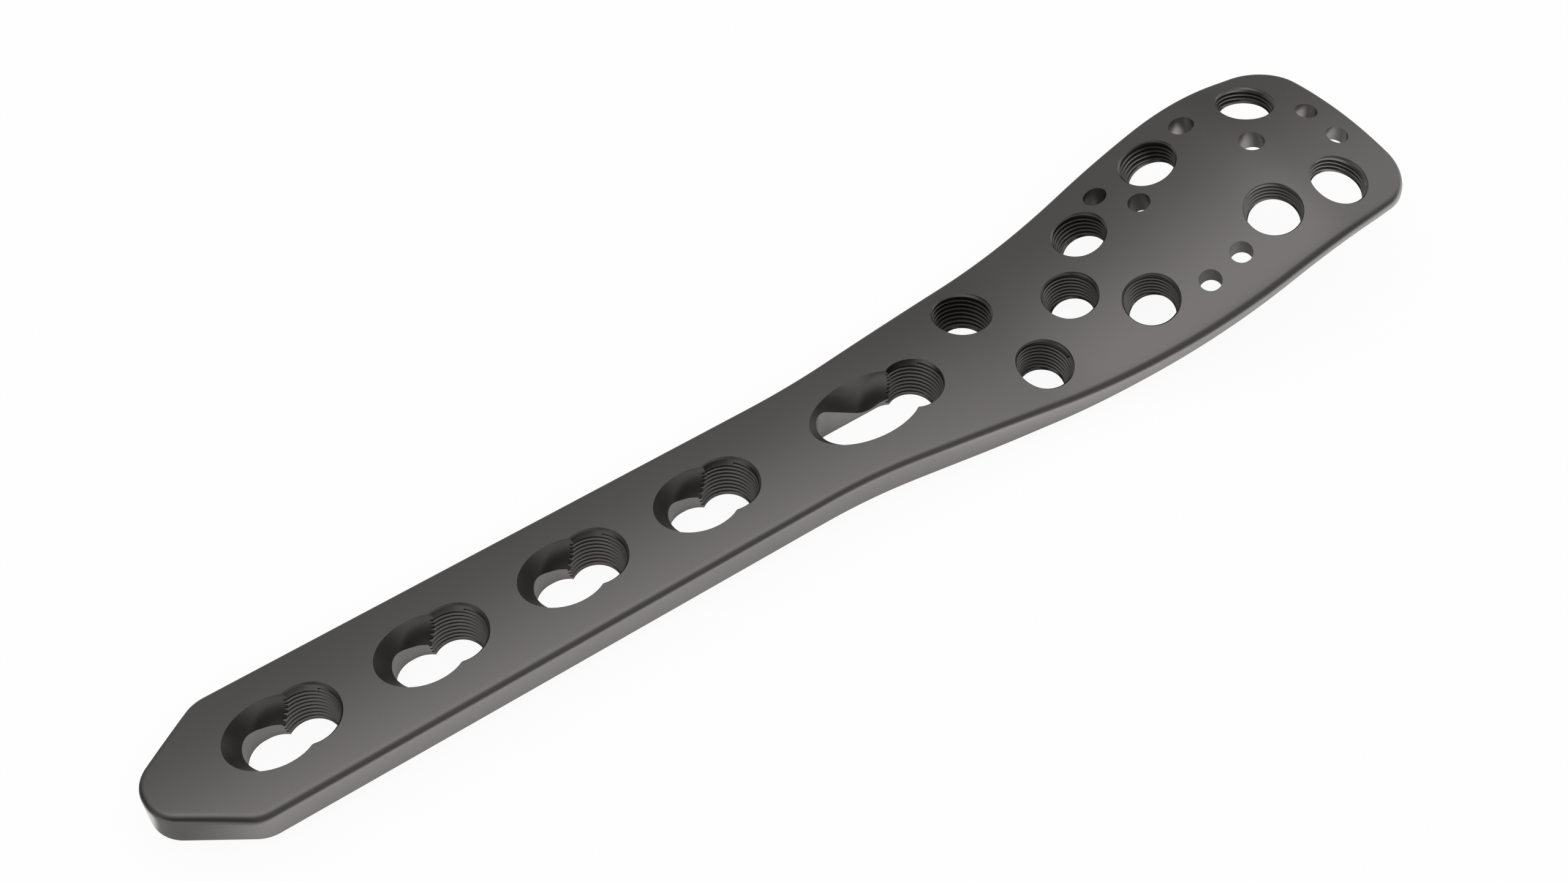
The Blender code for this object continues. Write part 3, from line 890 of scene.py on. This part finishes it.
def keep_edges(mesh):
    """Smooth faces with the true edges left crisp; counts the open edges."""
    bm = bmesh.new()
    bm.from_mesh(mesh)
    bmesh.ops.remove_doubles(bm, verts=bm.verts, dist=WELD)
    for face in bm.faces:
        face.smooth = True
    for edge in bm.edges:
        edge.smooth = not (len(edge.link_faces) == 2 and edge.calc_face_angle(0.0) > SHARP)
    open_edges = sum(1 for edge in bm.edges if len(edge.link_faces) != 2)
    bm.to_mesh(mesh)
    bm.free()
    return open_edges


cut_all(PLATE, CUTTERS)
OPEN_EDGES = keep_edges(PLATE.data)
print("plate faces", len(PLATE.data.polygons), "open edges", OPEN_EDGES)

# %% [markdown]
# ## The table and the light
#
# A dark satin metal shows little of its own colour: it shows what stands round
# it, softened. Lamps would put hard spots on it, so the light is built as the
# metal should see it: a white table below, a broad soft glow overhead, a quieter
# back wall, and a dim side where the photographer stands.
# The table is white to the eye and keeps the shadow. What the metal mirrors of
# it is a painted reflection: painted shade where the plate stands over it,
# behind the plate and under the head, and painted light in front of the head
# and off the far half of the tip.

# %% Painted reflection of the table in the metal
TABLE_GLOW = 1.36
SHADE_REACH = 25.0 * MM
# Painted shade past the tip, behind the plate and under the head; painted light off the tip's far
# half and before the head.
PAST_TIP_PAINTED_SHADE, TIP_PAINTED_LIGHT = 0.78, 1.45
PAINTED_SHADE_BEHIND, PAINTED_SHADE_UNDER_HEAD, PAINTED_LIGHT_BEFORE_HEAD = 0.70, 0.40, 0.20
TIP_X, END_X = CAD_BOX[0][0], CAD_BOX[1][0]


def painted_light_off_tip(along, across):
    """Painted reflection past the tip: painted shade, with painted light off its far half."""
    past_tip = 1.0 - along.smooth(TIP_X - 1.0 * MM, TIP_X + 8.0 * MM)
    far_half = across.smooth(-1.0 * MM, 1.0 * MM) * (1.0 - across.smooth(6.0 * MM, 12.0 * MM))
    by_tip = far_half * along.smooth(TIP_X - 18.0 * MM, TIP_X - 6.0 * MM)
    return TABLE_GLOW + past_tip * (TIP_PAINTED_LIGHT * by_tip - PAST_TIP_PAINTED_SHADE)


def painted_light_and_shade_beside(along, across):
    """Painted shade behind the plate and under the head, and painted light before the head."""
    half_width = 7.6 * MM + 6.0 * MM * along.smooth(END_X - 68.0 * MM, END_X - 20.0 * MM)
    head_side = along.smooth(END_X - 72.0 * MM, END_X - 62.0 * MM)
    beside = (abs(across) - half_width).smooth(0.0, 1.5 * MM)
    far_floor = across.smooth(7.0 * MM, 11.0 * MM)
    near_head = head_side * (0.0 - across).smooth(11.0 * MM, 16.0 * MM)
    behind = 1.0 - PAINTED_SHADE_BEHIND * far_floor
    painted_head_shade = 1.0 - PAINTED_SHADE_UNDER_HEAD * head_side * (1.0 - beside)
    return behind * painted_head_shade * (1.0 + PAINTED_LIGHT_BEFORE_HEAD * near_head)


def painted_table_reflection(tree):
    """Painted reflection: each spot of the table as the metal mirrors it, with painted shade from
    an occlusion term.
    """
    reach = {"Distance": SHADE_REACH}
    # Painted shade: an occlusion term darkens the mirrored table under and beside the plate.
    painted_occlusion_shade = node(tree, "ShaderNodeAmbientOcclusion", {"samples": 8}, reach, out=1)
    place = node(tree, "ShaderNodeTexCoord", out=3)
    along = node(tree, "ShaderNodeSeparateXYZ", None, {0: place}, out=0)
    across = node(tree, "ShaderNodeSeparateXYZ", None, {0: place}, out=1)
    light = painted_occlusion_shade * painted_light_and_shade_beside(along, across) * painted_light_off_tip(along, across)
    return node(tree, "ShaderNodeCombineColor", None, {0: light, 1: light, 2: light})


print("table glow", TABLE_GLOW)

# %% Table
TABLE_HALF = 3.0
TABLE_DROP = 0.02 * MM
WHITE = (1.0, 1.0, 1.0, 1.0)
EYE_WHITE = 0.93


def table_finish():
    """White to the eye with the object's shadow; to the metal, a painted reflection with painted
    light and shade.
    """
    material = bpy.data.materials.new("white_table")
    material.use_nodes = True
    tree = material.node_tree
    shader = tree.nodes["Principled BSDF"]
    shader.inputs["Base Color"].default_value = (0.90, 0.90, 0.90, 1.0)
    shader.inputs["Roughness"].default_value = 0.9
    path = tree.nodes.new("ShaderNodeLightPath")
    seen = Sock(tree, path.outputs["Is Camera Ray"])
    glossy = Sock(tree, path.outputs["Is Glossy Ray"])
    through = Sock(tree, path.outputs["Is Transmission Ray"])
    # The metal mirrors the painted reflection, not the table's lit colour.
    colour = mix_colour(tree, glossy, WHITE, painted_table_reflection(tree))
    glow = node(tree, "ShaderNodeEmission", None, {"Color": colour, "Strength": 1.0})
    share = seen * EYE_WHITE + glossy + through * EYE_WHITE
    plain = Sock(tree, shader.outputs[0])
    mixed = node(tree, "ShaderNodeMixShader", None, {0: share, 1: plain, 2: glow})
    tree.links.new(mixed.out, tree.nodes["Material Output"].inputs["Surface"])
    return material


def white_table():
    """A large plain table at the level of the underside."""
    bm = bmesh.new()
    bmesh.ops.create_grid(bm, x_segments=1, y_segments=1, size=TABLE_HALF)
    mesh = bpy.data.meshes.new("table")
    bm.to_mesh(mesh)
    bm.free()
    mesh.materials.append(table_finish())
    table = bpy.data.objects.new("table", mesh)
    table.location.z = -TABLE_DROP
    bpy.context.scene.collection.objects.link(table)
    return table


TABLE = white_table()
print("table at", TABLE.location.z)

# %% Sky of the studio
OVERHEAD = 1.04
FAR_LOSS, NEAR_LOSS = 0.71, 0.80
RIGHT_LOSS, LEFT_LOSS = 0.30, 0.70


def studio_sky():
    """White to the camera; to the metal, a soft room with a dim near side."""
    world = bpy.data.worlds.new("studio")
    bpy.context.scene.world = world
    world.use_nodes = True
    tree = world.node_tree
    place = node(tree, "ShaderNodeTexCoord", out=0)
    far_side = aim(tree, place, (-0.12, 1.0, 0.0)).smooth(-0.09, 0.76)
    near_side = aim(tree, place, (0.0, -1.0, 0.0)).smooth(0.05, 0.60)
    right_side = aim(tree, place, (1.0, 0.0, 0.0)).smooth(0.40, 0.52)
    left_side = aim(tree, place, (-1.0, 0.0, 0.0)).smooth(0.20, 0.75)
    depth = OVERHEAD - FAR_LOSS * far_side - NEAR_LOSS * near_side
    level = depth * (1.0 - RIGHT_LOSS * right_side - LEFT_LOSS * left_side)
    path = tree.nodes.new("ShaderNodeLightPath")
    glossy = Sock(tree, path.outputs["Is Glossy Ray"])
    strength = 1.0 + glossy * (level - 1.0)
    background = tree.nodes["Background"]
    background.inputs["Color"].default_value = WHITE
    tree.links.new(strength.out, background.inputs["Strength"])


studio_sky()
print("sky ready")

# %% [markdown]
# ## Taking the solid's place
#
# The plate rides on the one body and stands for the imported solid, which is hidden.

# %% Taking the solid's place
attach(PLATE, "root")
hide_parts("bone_plate")
bpy.context.scene.view_settings.view_transform = "Standard"
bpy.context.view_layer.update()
print("seconds", round(time.time() - STARTED, 1))
